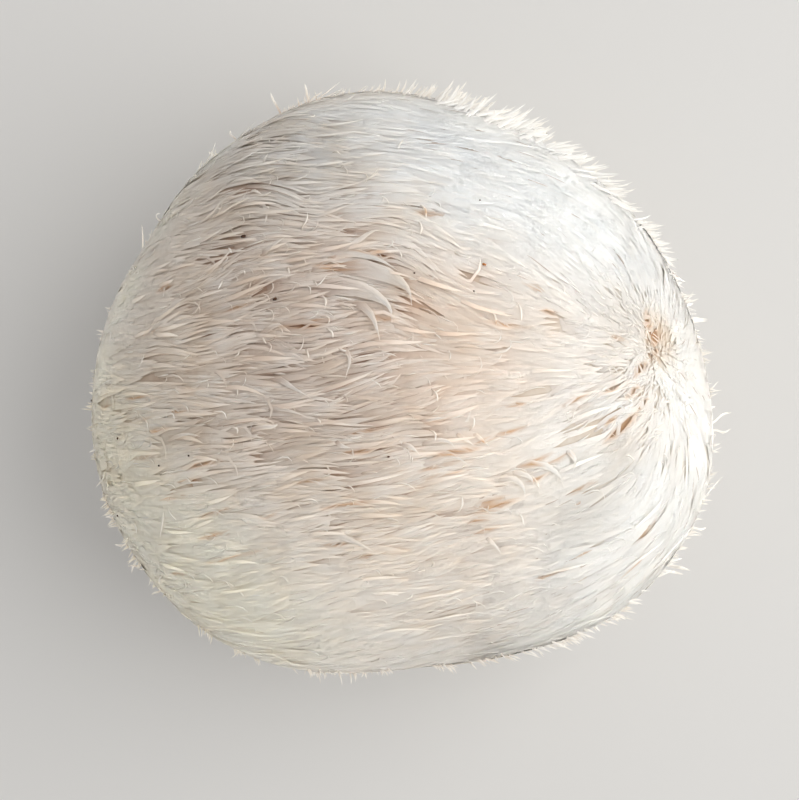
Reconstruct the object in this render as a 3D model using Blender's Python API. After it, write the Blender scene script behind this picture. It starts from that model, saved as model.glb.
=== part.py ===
"""A lion's mane mushroom (Hericium erinaceus), picked, and lying on its cut base.

The fruiting body grew as one piece, so it is one solid: a rounded, slightly flattened ball, cut off
flat underneath where it grew on the wood, with its soft spines fused to it as hanging locks. All of
them hung the same way while it grew. Lying on its back, that way is mostly +X and partly up, so the
locks run over the top from -X and meet in a whorl near the +X end.

Frame: +Z up, +X towards the whorl. The origin is under the middle of the body, on the surface that
the mushroom rests on.
"""

import math
import random

import bmesh
import bpy
from mathutils import Quaternion, Vector

# The body, in metres, measured to the outside of its spines
MEAN_RADIUS = 0.0947  # seen from above
SWELLS = (  # (swells round the outline, how far they stand out, the direction of one in degrees)
    (1, 0.0026, -99),
    (2, 0.0031, -7),
    (3, 0.0036, -23),
    (5, 0.0007, -35),
)
MIDDLE_HEIGHT = 0.052  # of the widest level
TOP_HEIGHT = 0.125
UNDER_DEPTH = 0.0593  # the underside's own depth below the widest level, before it is cut off flat
DIMPLE_DEPTH = 0.004  # of the hollow at the whorl
DIMPLE_REACH = 0.32  # radians round the whorl
CORE_DEPTH = 0.0040  # from the outside of the spines down to the body between them
CORE_DETAIL = 3  # subdivisions of the icosphere that the body starts as

# The way that the spines hung as it grew, as a direction on the body taken as a ball
HANG = Vector((0.80, 0.10, 0.59)).normalized()
TWIST = math.radians(12)  # how far they lie turned from that way, far from the whorl
TWIST_FROM, TWIST_TO = math.radians(40), math.radians(85)  # from the whorl
WHORL_REACH = math.radians(38)

# The locks of spines
LOCK_COUNT = 168  # over the whole ball, before those at the cut are left out
LOCK_LENGTH = 0.042
LOCK_SPREAD = 0.25  # a lock's length differs from LOCK_LENGTH by up to this share
LOCK_WIDTH = 0.0075  # half of it, across the lie
LOCK_THICKNESS = 0.0042  # from its middle line outward
LOCK_DEPTH = 0.0085  # from its middle line inward, so that only its tip stands clear of the body
LOCK_SIDES = 5
LOCK_LEVELS = ((0.0, 0.0), (0.16, 0.85), (0.46, 1.0), (0.78, 0.55), (1.0, 0.0))  # (along it, its size)
LOCK_ROOT = -0.0062  # height of a lock's middle over the body at its root
LOCK_LIFT = 0.14  # how fast a lock rises from the body, as a slope
WHORL_LIFT = 0.42  # the same at the whorl
LOCK_JITTER = 0.07  # radians by which a lock's root is off its even place
LOCK_STRAY = math.radians(10)  # how far a lock turns from its neighbours' way
REST_GAP = 0.0012  # between the locks' undersides and the resting surface
NO_LOCKS_BELOW = 0.0025  # the cut base and the rim round it are bare
SEED = 7

GOLDEN_TURN = math.pi * (3 - math.sqrt(5))
NODE = "fruiting_body"
SPINE_COLOUR = (0.80, 0.74, 0.66, 1.0)
SPINE_ROUGHNESS = 0.62
CREASE = math.radians(35)  # facets that meet more sharply than this keep their edge


def clear_scene():
    for obj in list(bpy.data.objects):
        bpy.data.objects.remove(obj)


def new_collection(name):
    collection = bpy.data.collections.new(name)
    bpy.context.scene.collection.children.link(collection)
    return collection


def smooth_step(value, low, high):
    share = min(1.0, max(0.0, (value - low) / (high - low)))
    return share * share * (3 - 2 * share)


def from_whorl(ball):
    """The angle between a point on the unit ball and the whorl."""
    return math.acos(max(-1.0, min(1.0, ball.dot(HANG))))


def outline_radius(turn):
    """The radius seen from above, in the direction turn (radians from +X)."""
    swell = sum(size * math.cos(count * (turn - math.radians(toward))) for count, size, toward in SWELLS)
    return MEAN_RADIUS + swell


def skin(ball):
    """The outside of the spines over a place on the unit ball, and the way outward there."""
    wide = outline_radius(math.atan2(ball.y, ball.x))
    tall = TOP_HEIGHT - MIDDLE_HEIGHT if ball.z > 0 else UNDER_DEPTH
    outward = Vector((ball.x / wide, ball.y / wide, ball.z / tall)).normalized()
    dimple = DIMPLE_DEPTH * (1 - smooth_step(from_whorl(ball), 0, DIMPLE_REACH))
    point = Vector((ball.x * wide, ball.y * wide, ball.z * tall + MIDDLE_HEIGHT))
    return point - outward * dimple, outward


def make_core():
    """The body between the spines, cut off flat at the level that it rests on."""
    shape = bmesh.new()
    bmesh.ops.create_icosphere(shape, subdivisions=CORE_DETAIL, radius=1)
    for vert in shape.verts:
        point, outward = skin(vert.co.normalized())
        vert.co = point - outward * CORE_DEPTH
    everything = list(shape.verts) + list(shape.edges) + list(shape.faces)
    cut = bmesh.ops.bisect_plane(
        shape, geom=everything, plane_co=(0, 0, 0), plane_no=(0, 0, -1), clear_outer=True
    )
    rim = [edge for edge in cut["geom_cut"] if isinstance(edge, bmesh.types.BMEdge)]
    bmesh.ops.contextual_create(shape, geom=rim)
    bmesh.ops.recalc_face_normals(shape, faces=shape.faces)
    return as_object("core", shape)


def as_object(name, shape):
    mesh = bpy.data.meshes.new(name)
    shape.to_mesh(mesh)
    shape.free()
    return bpy.data.objects.new(name, mesh)


def along_the_lie(ball, stray):
    """The way that spines lie at a place on the unit ball, and how much of their length lies along it."""
    lie = HANG - ball * HANG.dot(ball)
    along = min(1.0, lie.length / math.sin(WHORL_REACH))
    turn = stray + TWIST * smooth_step(from_whorl(ball), TWIST_FROM, TWIST_TO)
    lie.rotate(Quaternion(ball, turn))
    return lie.normalized(), along


def lock_path(root, length, stray):
    """A lock's middle line from root to tip: (point, the way across, the way outward) at each level."""
    ball, height, reached = root, LOCK_ROOT, 0.0
    points, outwards = [], []
    for share, _ in LOCK_LEVELS:
        lie, along = along_the_lie(ball, stray)
        lift = LOCK_LIFT + (WHORL_LIFT - LOCK_LIFT) * (1 - smooth_step(from_whorl(ball), 0, WHORL_REACH))
        step = (share - reached) * length
        ball = (ball + lie * along * step / MEAN_RADIUS).normalized()
        height += step * lift
        reached = share
        point, outward = skin(ball)
        points.append(point + outward * height)
        outwards.append(outward)
    way = (points[-1] - points[0]).normalized()
    return [(point, way.cross(outward).normalized(), outward) for point, outward in zip(points, outwards)]


def add_lock(shape, path):
    """One lock: a ball with few facets, drawn out along the path into a flat, pointed lock."""
    made = bmesh.ops.create_uvsphere(shape, u_segments=LOCK_SIDES, v_segments=len(LOCK_LEVELS) - 1, radius=1)
    for vert in made["verts"]:
        level = round(math.acos(max(-1.0, min(1.0, -vert.co.z))) / math.pi * (len(LOCK_LEVELS) - 1))
        point, across, outward = path[level]
        size = LOCK_LEVELS[level][1]
        turn = math.atan2(vert.co.y, vert.co.x)
        thick = LOCK_THICKNESS if math.cos(turn) > 0 else LOCK_DEPTH
        vert.co = point + (across * math.sin(turn) * LOCK_WIDTH + outward * math.cos(turn) * thick) * size
        vert.co.z = max(vert.co.z, REST_GAP)


def even_places(count):
    """Places spread evenly over the unit ball, on a spiral from its top to its bottom."""
    for i in range(count):
        level = 1 - 2 * (i + 0.5) / count
        ring = math.sqrt(1 - level * level)
        yield Vector((ring * math.cos(i * GOLDEN_TURN), ring * math.sin(i * GOLDEN_TURN), level))


def make_locks():
    """All the locks in one mesh, laid over the body like shingles."""
    rng = random.Random(SEED)
    shape = bmesh.new()
    for place in even_places(LOCK_COUNT):
        off = Vector([rng.uniform(-LOCK_JITTER, LOCK_JITTER) for _ in range(3)])
        length = LOCK_LENGTH * (1 + rng.uniform(-LOCK_SPREAD, LOCK_SPREAD))
        stray = rng.uniform(-LOCK_STRAY, LOCK_STRAY)
        root = (place + off).normalized()
        if skin(root)[0].z < NO_LOCKS_BELOW:
            continue
        add_lock(shape, lock_path(root, length, stray))
    return as_object("locks", shape)


def fuse(core, locks):
    """The core and the locks joined into one solid."""
    union = core.modifiers.new("fuse locks", "BOOLEAN")
    union.operation = "UNION"
    union.solver = "EXACT"
    union.use_self = True
    union.object = locks
    bpy.context.view_layer.update()
    graph = bpy.context.evaluated_depsgraph_get()
    fused = bpy.data.meshes.new_from_object(core.evaluated_get(graph))
    shape = bmesh.new()
    shape.from_mesh(fused)
    drop_hollows(shape)
    return as_object(NODE, shape)


def drop_hollows(shape):
    """Deletes the walls of closed hollows left under crossing locks: every island but the outside."""
    left = set(shape.faces)
    islands = []
    while left:
        island = [left.pop()]
        for face in island:
            touching = {other for edge in face.edges for other in edge.link_faces} & left
            left -= touching
            island.extend(touching)
        islands.append(island)
    islands.sort(key=len)
    for island in islands[:-1]:
        bmesh.ops.delete(shape, geom=island, context="FACES")


def centre_over_origin(mesh):
    """Moves the mesh sideways until the middle of its box is over the origin."""
    for axis in (0, 1):
        along = [vert.co[axis] for vert in mesh.vertices]
        middle = (min(along) + max(along)) / 2
        for vert in mesh.vertices:
            vert.co[axis] -= middle


def spine_material():
    material = bpy.data.materials.new("spines")
    material.use_nodes = True
    shader = material.node_tree.nodes["Principled BSDF"]
    shader.inputs["Base Color"].default_value = SPINE_COLOUR
    shader.inputs["Roughness"].default_value = SPINE_ROUGHNESS
    shader.inputs["Metallic"].default_value = 0.0
    return material


def main():
    clear_scene()
    parts = new_collection("lions mane mushroom")
    cutters = new_collection("cutters")
    core, locks = make_core(), make_locks()
    for helper in (core, locks):
        helper.hide_render = True
        helper.display_type = "WIRE"
        cutters.objects.link(helper)
    body = fuse(core, locks)
    centre_over_origin(body.data)
    body.data.materials.append(spine_material())
    body.data.shade_smooth()
    body.data.set_sharp_from_angle(angle=CREASE)
    parts.objects.link(body)


main()
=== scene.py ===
"""The look of a lion's mane mushroom lying on its cut base: its flesh, and its soft spines one by one.

Lengths are in metres. +X is the photo's right, +Y its up and +Z towards its camera. Places on the body
are points on a unit ball, which surface() carries to the mushroom's outside and the way outward there.
"""

import math

import bmesh
import bpy
import numpy as np
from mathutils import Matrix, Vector


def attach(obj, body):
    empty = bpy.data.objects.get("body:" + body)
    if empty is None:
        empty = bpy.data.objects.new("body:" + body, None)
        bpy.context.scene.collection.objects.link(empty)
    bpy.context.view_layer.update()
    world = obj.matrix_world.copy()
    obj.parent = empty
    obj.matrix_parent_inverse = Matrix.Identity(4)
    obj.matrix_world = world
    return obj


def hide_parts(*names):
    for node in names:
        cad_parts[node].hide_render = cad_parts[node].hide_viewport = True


NODE = "fruiting_body"
SEED = 5

# The body, to the outside of its spines
MEAN_RADIUS = 0.0950  # seen from above
SWELLS = (  # (swells round the outline, how far they stand out, the direction of one in degrees)
    (1, 0.0026, -99),
    (2, 0.0031, -7),
    (3, 0.0036, -23),
    (4, 0.0005, -42),
    (5, 0.0007, -35),
)
OFFSET = (-0.0008, -0.0010)
MIDDLE_HEIGHT = 0.052
TOP_HEIGHT = 0.1245
UNDER_DEPTH = 0.0590
LUMP_HEIGHT = 0.0008
FLESH_DEPTH = 0.0006  # from the outside of the spines to the flesh
FLESH_DEPTH_CALM = 0.00030  # the same where the spines lie calm

# How the spines lie
HANG = (0.67, 0.075, 0.74)  # the way that they hung as the mushroom grew
STEADY = 0.07  # nearer to the whorl than this, as a sine, spines no longer reach on towards it
TURNS = (-1.0, -2.0, 16.0, 21.0, 4.0, -2.0)  # degrees, times 1, x, y, xy, xx, yy (in MEAN_RADIUS)
SWIRLS = (  # (x, y, reach, degrees) of local turns in the lie
    (0.010, 0.024, 0.017, -18), (-0.050, 0.032, 0.020, 9), (0.004, -0.004, 0.010, 8),
    (0.032, 0.080, 0.030, 48), (-0.010, 0.052, 0.018, 12), (0.041, 0.033, 0.015, -20),
    (0.066, -0.050, 0.022, -25), (-0.033, 0.003, 0.013, -5), (-0.052, 0.026, 0.012, 12),
    (0.036, -0.001, 0.013, 6), (-0.009, 0.000, 0.013, 10), (-0.086, 0.000, 0.015, -6),
    (0.066, 0.052, 0.020, 32), (-0.010, -0.050, 0.018, -14),
)
SWAY = 5.0  # degrees of soft waviness in the lie
WHORL_FROM, WHORL_TO = 4.0, 19.0  # degrees from the hanging way, where the whorl fades out
BEHIND_FROM, BEHIND_TO = 0.05, 0.65  # how far outward faces away from the hanging way, as a cosine

# Where the spines lie matted and smooth: (the way towards it in x and y, where along that way it starts
# and is full, how calm it is)
CALM_ZONES = (
    (0.70, 0.70, 0.024, 0.062, 1.00),  # the upper right
    (-0.94, 0.34, 0.058, 0.082, 0.90),  # the left rim
    (0.00, -1.00, 0.030, 0.070, 0.50),  # the lower rim
    (-0.50, -0.85, 0.025, 0.065, 0.75),  # the lower left
)
CALM_RIGHT = (1.00, 0.00, -0.005, 0.045, 0.95)  # the right-hand side, which is rougher at COMBED
COMBED = (0.062, -0.006, 0.017, 0.6)  # x, y, reach, and how much less calm it is

# The photo's camera, and its picture in pixels
CAMERA_AT = (-0.0008, -0.0057, 0.650)
PIXEL_AT_OUTLINE = 0.0003175
OUTLINE_HEIGHT = 0.055
PICTURE = (799, 800)
SIGHT_HEIGHT, SIGHT_ROUNDS = 0.10, 6  # the height seen_at() starts with, and how often it corrects it
FLATTEST = 0.999  # the most that a pixel's place can be off the middle, as a share of the outline


def smooth(value, low, high):
    share = np.clip((value - low) / (high - low), 0, 1)
    return share * share * (3 - 2 * share)


def unit(vectors):
    length = np.linalg.norm(vectors, axis=-1, keepdims=True)
    return vectors / np.maximum(length, 1e-12)


# The body


def outline_radius(turn):
    swells = sum(size * np.cos(count * (turn - math.radians(toward))) for count, size, toward in SWELLS)
    return MEAN_RADIUS + swells


def half_sizes(ball):
    """How far the body reaches along each axis, on the place's own side."""
    wide = outline_radius(np.arctan2(ball[..., 1], ball[..., 0]))
    tall = np.where(ball[..., 2] > 0, TOP_HEIGHT - MIDDLE_HEIGHT, UNDER_DEPTH)
    return np.stack([wide, wide, tall], -1)


def lumps(ball):
    """Low, broad unevenness of the body, as a share of LUMP_HEIGHT."""
    x, y, z = ball[..., 0], ball[..., 1], ball[..., 2]
    waves = np.sin(5.1 * x + 3.3 * y + 1.0) * np.sin(4.2 * y - 3.7 * z + 0.4)
    return waves + 0.6 * np.sin(9.3 * y + 4.1 * x + 2.2) * np.sin(8.7 * z + 5.2 * x)


def surface(ball):
    """The mushroom's outside over places on the unit ball, and the way outward there."""
    size = half_sizes(ball)
    outward = unit(ball / size)
    point = ball * size + np.array((*OFFSET, MIDDLE_HEIGHT))
    return point + outward * (LUMP_HEIGHT * lumps(ball))[..., None], outward


def place_of(points):
    """The places on the unit ball under points near the surface."""
    off = points - np.array((*OFFSET, MIDDLE_HEIGHT))
    return unit(off / half_sizes(off))


def move(ball, step):
    """The place on the ball reached by a small step along the surface."""
    return unit(ball + step / half_sizes(ball))


def hanging():
    return unit(np.array(HANG))


def whorl(outward):
    """1 at the whorl, 0 away from it."""
    angle = np.degrees(np.arccos(np.clip(outward @ hanging(), -1, 1)))
    return 1 - smooth(angle, WHORL_FROM, WHORL_TO)


def behind(outward):
    """1 on the side that the spines point away from, where they are short and lie close."""
    return smooth(-(outward @ hanging()), BEHIND_FROM, BEHIND_TO)


def in_zone(point, way_x, way_y, start, full, strength):
    """A zone that grows from 0 at start to its strength at full, along a way in x and y."""
    return strength * smooth(way_x * point[..., 0] + way_y * point[..., 1], start, full)


def calm(point):
    """1 where the spines lie matted and smooth, 0 where they are rough."""
    x, y, reach, strength = COMBED
    combed = np.exp(-((point[..., 0] - x) ** 2 + (point[..., 1] - y) ** 2) / reach**2)
    right = in_zone(point, *CALM_RIGHT) * (1 - strength * combed)
    return np.max([right, *(in_zone(point, *zone) for zone in CALM_ZONES)], axis=0)


def lie(point, outward, extra=0.0):
    """The way that spines lie along the surface, and how steadily; extra turns them, in degrees."""
    hang = hanging()
    along = hang - outward * (outward * hang).sum(-1, keepdims=True)
    x, y, z = (point[..., axis] / MEAN_RADIUS for axis in range(3))
    turn = sum(t * f for t, f in zip(TURNS, (1.0, x, y, x * y, x * x, y * y)))
    turn = turn + SWAY * np.sin(17 * x + 5 * z + 2.0 * np.sin(7 * y)) * np.sin(19 * y - 4 * z + 1.7)
    above = smooth(outward[..., 2], -0.2, 0.3)
    for sx, sy, reach, degrees in SWIRLS:
        away = ((point[..., 0] - sx) ** 2 + (point[..., 1] - sy) ** 2) / reach**2
        turn = turn + degrees * np.exp(-away) * above
    turn = np.radians(turn + extra)[..., None]
    turned = along * np.cos(turn) + np.cross(outward, along) * np.sin(turn)
    size = np.linalg.norm(along, axis=-1, keepdims=True)
    return unit(turned), np.minimum(1, size / STEADY)


def lie_at(ball, extra=0.0):
    """Points of the surface, with the ways outward, along the lie and across it."""
    point, outward = surface(ball)
    way, _ = lie(point, outward, extra)
    return point, outward, way, np.cross(outward, way)


def at_height(u, v, height):
    """x and y of what the photo shows at a pixel, if it is at a height."""
    pixel = PIXEL_AT_OUTLINE * (CAMERA_AT[2] - height) / (CAMERA_AT[2] - OUTLINE_HEIGHT)
    x = CAMERA_AT[0] + (u - (PICTURE[0] - 1) / 2) * pixel
    y = CAMERA_AT[1] - (v - (PICTURE[1] - 1) / 2) * pixel
    return x, y


def seen_at(u, v):
    """The place on the unit ball that the photo shows at a pixel."""
    height = SIGHT_HEIGHT
    for _ in range(SIGHT_ROUNDS):
        x, y = np.subtract(at_height(u, v, height), OFFSET)
        wide = outline_radius(math.atan2(y, x))
        flat = min(FLATTEST, math.hypot(x, y) / wide)
        level = math.sqrt(1 - flat * flat)
        height = MIDDLE_HEIGHT + (TOP_HEIGHT - MIDDLE_HEIGHT) * level
    return unit(np.array((x / wide, y / wide, level)))


# Where the spines part and show the tan below, darkened partly with painted shade; some are painted shadows
# beside lifted locks: (u, v, half its length, half its width) in pixels
PARTINGS = (
    (495, 505, 16, 2.6), (534, 461, 12, 2.2), (562, 457, 10, 2.0), (580, 488, 11, 1.8),
    (510, 431, 12, 1.6), (456, 451, 17, 2.2), (621, 427, 20, 3.6), (575, 399, 12, 1.6),
    (608, 389, 9, 1.6), (630, 392, 9, 1.8), (611, 419, 8, 1.5), (485, 529, 10, 2.0), (645, 320, 8, 4.0),
    (653, 338, 9, 4.0), (638, 368, 9, 3.2), (615, 338, 7, 1.8), (429, 214, 10, 3.0), (300, 326, 18, 2.2),
    (332, 268, 12, 1.6), (370, 250, 12, 1.4), (505, 325, 16, 1.6), (547, 312, 9, 2.0), (535, 286, 4, 1.2),
    (362, 431, 14, 1.4), (358, 451, 14, 1.6), (343, 462, 5, 1.6), (310, 481, 12, 1.4),
    (347, 505, 20, 1.4), (335, 545, 9, 2.0), (366, 557, 6, 2.4), (135, 397, 14, 1.4), (140, 419, 7, 1.2),
    (157, 430, 9, 1.5), (142, 457, 13, 1.2), (199, 464, 15, 1.8), (186, 480, 12, 0.9),
    (173, 497, 14, 1.0), (212, 513, 12, 1.2), (212, 535, 12, 1.6), (232, 557, 26, 1.3),
    (179, 572, 8, 1.5), (634, 565, 12, 1.4), (647, 530, 9, 1.2), (582, 552, 7, 1.2), (550, 573, 11, 1.4),
    (383, 317, 7, 2.6), (326, 263, 8, 1.8), (381, 254, 8, 1.6), (320, 320, 9, 1.6), (237, 307, 12, 1.4),
    (491, 500, 9, 3.0), (478, 519, 9, 2.6), (535, 290, 5, 1.6), (516, 404, 7, 1.4), (576, 505, 5, 1.8),
    (435, 421, 9, 1.4), (438, 465, 16, 1.4), (484, 440, 7, 1.2), (446, 473, 13, 0.9), (538, 477, 7, 1.6),
    (640, 404, 8, 1.6), (652, 352, 5, 2.0), (104, 406, 5, 1.6), (167, 289, 8, 2.4), (160, 331, 6, 2.0),
    (180, 411, 5, 1.3), (267, 516, 6, 1.3),
)
PARTING_DEPTH = 0.012  # how far above or below it a parting still counts
PARTING_PUSH = 1.15  # how far it moves the nearest lines aside, in its half widths
PARTING_REACH = 4.5  # how far across it lines are moved, in its half widths


class Partings:
    """The partings on the body: where each is, the way it runs, and its size."""

    def __init__(self):
        table = np.array(PARTINGS)
        ball = np.array([seen_at(u, v) for u, v in table[:, :2]])
        self.point, self.outward, self.way, self.across = lie_at(ball)
        self.half_length, self.half_width = (table[:, 2:] * PIXEL_AT_OUTLINE).T

    def near(self, points, number):
        """A parting's own place along and across it of points, in its half sizes."""
        off = points - self.point[number]
        s = off @ self.way[number] / self.half_length[number]
        d = off @ self.across[number] / self.half_width[number]
        away = np.abs(off @ self.outward[number])
        return s, d, away < PARTING_DEPTH

    def open(self, line, across):
        """Moves lines aside, so that each parting opens."""
        moved = line.copy()
        for number in range(len(self.point)):
            s, d, here = self.near(line, number)
            wide = np.clip(1 - s * s, 0, 1)
            push = np.clip(1 - np.abs(d) / PARTING_REACH, 0, 1) * wide * here * self.half_width[number]
            side = np.where(d >= 0, 1, -1) * np.sign(across @ self.across[number])
            moved += across * (push * side * PARTING_PUSH)[..., None]
        return moved

    def tan_and_painted_shade(self, points, wide):
        """Where tan and painted shade are laid: 1 in a parting, 0 away from all of them; wide is how far it
        reaches across.
        """
        most = np.zeros(points.shape[:-1])
        for number in range(len(self.point)):
            s, d, here = self.near(points, number)
            most = np.maximum(most, np.exp(-(s**4) - (d / wide) ** 2) * here)
        return most


# The lines that spines follow

PATH_BACK, PATH_ON = 0.032, 0.014  # along the lie, before and after a lock's place
STEPS_BACK, STEPS_ON = 25, 12


def even_places(count, rng, jitter):
    """Places spread evenly over the body's area, as points on the unit ball."""
    level = np.linspace(-1, 1, 2001)
    tall = np.where(level > 0, TOP_HEIGHT - MIDDLE_HEIGHT, UNDER_DEPTH)
    area = np.sqrt(tall**2 * (1 - level**2) + MEAN_RADIUS**2 * level**2)
    share = np.cumsum(area)
    share = (share - share[0]) / (share[-1] - share[0])
    z = np.interp((np.arange(count) + 0.5) / count, share, level)
    turn = np.arange(count) * math.pi * (3 - math.sqrt(5))
    ring = np.sqrt(1 - z * z)
    ball = np.stack([ring * np.cos(turn), ring * np.sin(turn), z], -1)
    return unit(ball + rng.normal(0, jitter, ball.shape))


def follow(ball, stray, distance, steps):
    """Places at even steps along the lie, turned by stray, starting at ball."""
    places = [ball]
    for _ in range(steps - 1):
        way, along = lie(*surface(places[-1]), stray)
        places.append(move(places[-1], way * along * distance / (steps - 1)))
    return np.stack(places, 1)


def lock_paths(ball, stray):
    """Each lock's line on the body, from before its place to after it."""
    back = follow(ball, stray, -PATH_BACK, STEPS_BACK)[:, :0:-1]
    places = np.concatenate([back, follow(ball, stray, PATH_ON, STEPS_ON)], 1)
    point, _, _, across = lie_at(places, stray[:, None])
    return {"point": point, "across": across}


def path_at(path, lock, along):
    """The paths' values for spines of given locks at distances along them (0 is the lock's place)."""
    count = path["point"].shape[1]
    back = (along / PATH_BACK + 1) * (STEPS_BACK - 1)
    on = (along / PATH_ON) * (STEPS_ON - 1) + (STEPS_BACK - 1)
    index = np.clip(np.where(along < 0, back, on), 0, count - 1.001)
    low = index.astype(int)
    share = index - low
    found = {}
    for key, values in path.items():
        before, after = values[lock[:, None], low], values[lock[:, None], low + 1]
        found[key] = before + (after - before) * share[..., None]
    return found


# The spines

SECTION = ((0.0, 0.26), (-1.0, -0.10), (1.0, -0.10))  # corners (across, outward), times half the width
SECTION_LINE = (0.0, 0.35, 1.0)  # how much of a painted shadow line each corner can take
TIP_LINE = 0.3  # the same at the tip
SIDES = len(SECTION)
PIECES = ("spines_1", "spines_2", "spines_3", "spines_4", "spines_5")  # each has every fifth lock
LONG_RINGS = (0.0, 0.24, 0.46, 0.64, 0.78, 0.89, 0.96, 1.0)
LONG_TAPER = (0.80, 1.00, 1.00, 0.97, 0.82, 0.52, 0.25, 0.0)
SHORT_RINGS = (0.0, 0.25, 0.45, 0.62, 0.77, 0.90, 1.0)
SHORT_TAPER = (0.90, 1.00, 1.00, 0.90, 0.72, 0.42, 0.0)
POINTED_TAPER = (1.00, 1.00, 0.86, 0.68, 0.48, 0.24, 0.0)

# The kinds of spines. Each row has a value for the long locks, for the single curled hairs between them,
# for the short curly tufts at the whorl, and for the spikes along the rim.
KINDS = {
    "count": (1850, 4200, 19000, 5200),  # of places all over the body, before places_of() leaves some out
    "spines": (9, 1, 3, 4),  # in one lock
    "length": (0.0300, 0.0095, 0.0072, 0.0070),
    "uneven": (0.10, 0.35, 0.25, 0.35),  # the share by which spines of one lock differ in length
    "half_width": (0.0040, 0.0, 0.0011, 0.0016),  # of the lock
    "radius": (0.00064, 0.00032, 0.00040, 0.00048),  # half a spine's width
    "fluted": ((0.06, 0.36), (2.4, 3.2), (0.8, 1.6), (1.0, 2.0)),  # times the height of SECTION
    "root_depth": (0.0009, 0.0006, 0.0010, 0.0008),
    "rings": (LONG_RINGS, SHORT_RINGS, SHORT_RINGS, SHORT_RINGS),
    "taper": (LONG_TAPER, SHORT_TAPER, SHORT_TAPER, POINTED_TAPER),
    "hooked": (0.025, 0.45, 0.12, 0.04),  # the share with a hooked tip
    "loose": (0.05, 0.16, 0.25, 0.0),  # the share that stands off its lock
    "unruly": (None, None, 1.0, 0.6),  # how freely spines bend; None leaves it to their place
    "pale": (0.6, 1.0, 0.8, 0.8),  # of the tips, at most
    "rise": ((0, 5), (3, 14), (0, 20), (58, 58)),  # degrees outward, away from the whorl and at it
    "bends_from": (0.50, 0.50, 0.50, 0.0),  # the share of its length where it starts to turn
    "bow": (1, 1, 1, 0.45),  # below 1, it turns outward early and runs straight from there
}
LOCK, HAIR, TUFT, FRINGE = ({key: row[column] for key, row in KINDS.items()} for column in range(4))

# How spines vary by chance. A pair is the least and the most.
PLACE_JITTER = 0.020  # of a lock's place, on the unit ball
WAY_JITTER, WAY_JITTER_WHORL = 4, 12  # degrees, everywhere and on top of it at the whorl
SIDE_JITTER = 0.05  # of a spine's place across its lock, in half widths
LOCK_LENGTH, RIM_LENGTH = (0.80, 1.20), (0.6, 1.4)  # times the kind's length
TIP_PLACE = (0.000, 0.012)  # how far past its place a lock ends
TIP_BACK, TIP_BACK_SIDE = 0.0026, 0.0050  # how far before that its spines end: each, and the outermost
HAIR_BENDS_FROM = (-0.12, 0.22)  # added to its bends_from
LOCK_HOOKS_FROM = 0.70  # bends_from of a lock's hooked spines
STRAY = 1.2  # degrees that a spine leaves its lock's way by
BEND, BEND_LOCK, BEND_SPINE = -3, 9, 4  # degrees aside at the tip: the mean, and how far they vary
HOOK, HOOK_OTHER_WAY = (25, 130), 0.3  # degrees aside, and the share that turns to the other side
LOOSE = (8, 30)  # degrees outward
RISE = (0.4, 1.4)  # times the kind's rise
LOCK_WIDTH = (0.75, 1.3)  # times the kind's half width
GATHER, RIM_GATHER = (0.05, 0.50), (0.60, 1.00)  # the share of its width that a lock loses to its tip
LIFT_LOCK, LIFT_SPINE = 0.00008, 0.00001  # how far each is off its height
SIDES_LOWER = 0.00016  # how much lower a lock's outermost spines lie
TIP_LIFT = 0.00025  # how far a lock's tip can stand over what it lies on
THICKNESS = (0.88, 1.12)  # times the kind's radius
LINED_SHARE, LINED, UNLINED = 0.30, (0.6, 1.0), (0.0, 0.3)  # the share with a painted shadow line, how dark
DASHED, DASH = 0.10, (0.7, 1)  # the share with a short painted shadow line where they lie calm, how dark
TONE_SPINE, TONE_LOCK = 0.07, 0.13  # around 0.5
PALE = (0.3, 1.0)  # times the kind's pale

# What spines have less of at the whorl, behind and where they lie calm, as shares; below 0 it is more
LESS = {
    "unruly": (-0.8, 0.7, 0.8),
    "hooked": (-2, 0.6, 0),
    "length": (0.35, 0.25, 0),
    "loose": (0, 0, 0.7),
    "sides_lower": (0, 0, 0.6),
    "root_depth": (0, 0, 0.75),
    "lined": (0, 0, 0.9),
    "tone": (0, 0, 0.8),
}
WHORL_THINNER = 0.10  # how much thinner the spines of locks are at the whorl
CALM_WIDER, CALM_FLATTER, CALM_DULLER = 0.7, 0.9, 0.6  # the same where they lie calm
RIM_LEAST_LENGTH, RIM_LEAST_WIDTH = 0.15, 0.35  # of the rim's spikes where they stand out least
ROOT_SINK, ROOT_END = 0.0012, 0.25  # how much deeper a spine's very root is, and how far that reaches
LOWEST = 0.0006  # spines stay this far above the surface that the mushroom rests on

# Where spines are rooted
BARE_BELOW = 0.0045  # no spine is rooted lower than this
BARE_WHORL = 4  # degrees round the hanging way where no lock ends
TUFT_FROM, TUFT_TO = 0.05, 0.90  # at the whorl
HAIR_BARE = (0.70, 0.70, 0.026, 0.056, 0.9)  # the zone in the upper right that has few
HAIR_CALM = 0.4  # how many fewer there are where spines lie calm
RIM_LEAST, RIM_MORE = 0.10, 0.65  # the share of the rim's places in use, and more with its reach
RIM_UNDER = 0.05  # how far outward points down, as a sine, where the rim's spikes begin
RIM_BAND, RIM_BAND_MORE = 0.30, 0.2  # how far up they reach, and with the rim's reach
RIM_REACH = (  # (direction from the middle in degrees, how far the rim's spikes stand out there)
    (-90, 0.35), (-50, 0.60), (-20, 0.40), (5, 0.40), (30, 0.70), (55, 1.00), (75, 1.00), (88, 0.55),
    (100, 0.25), (118, 0.20), (135, 0.15), (165, 0.15), (190, 0.28), (225, 0.30),
)


def rim_reach(point):
    """How far the rim's spikes stand out, as a share of the most."""
    turn = np.degrees(np.arctan2(point[..., 1], point[..., 0]))
    return np.interp(turn, *zip(*RIM_REACH), period=360)


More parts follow.
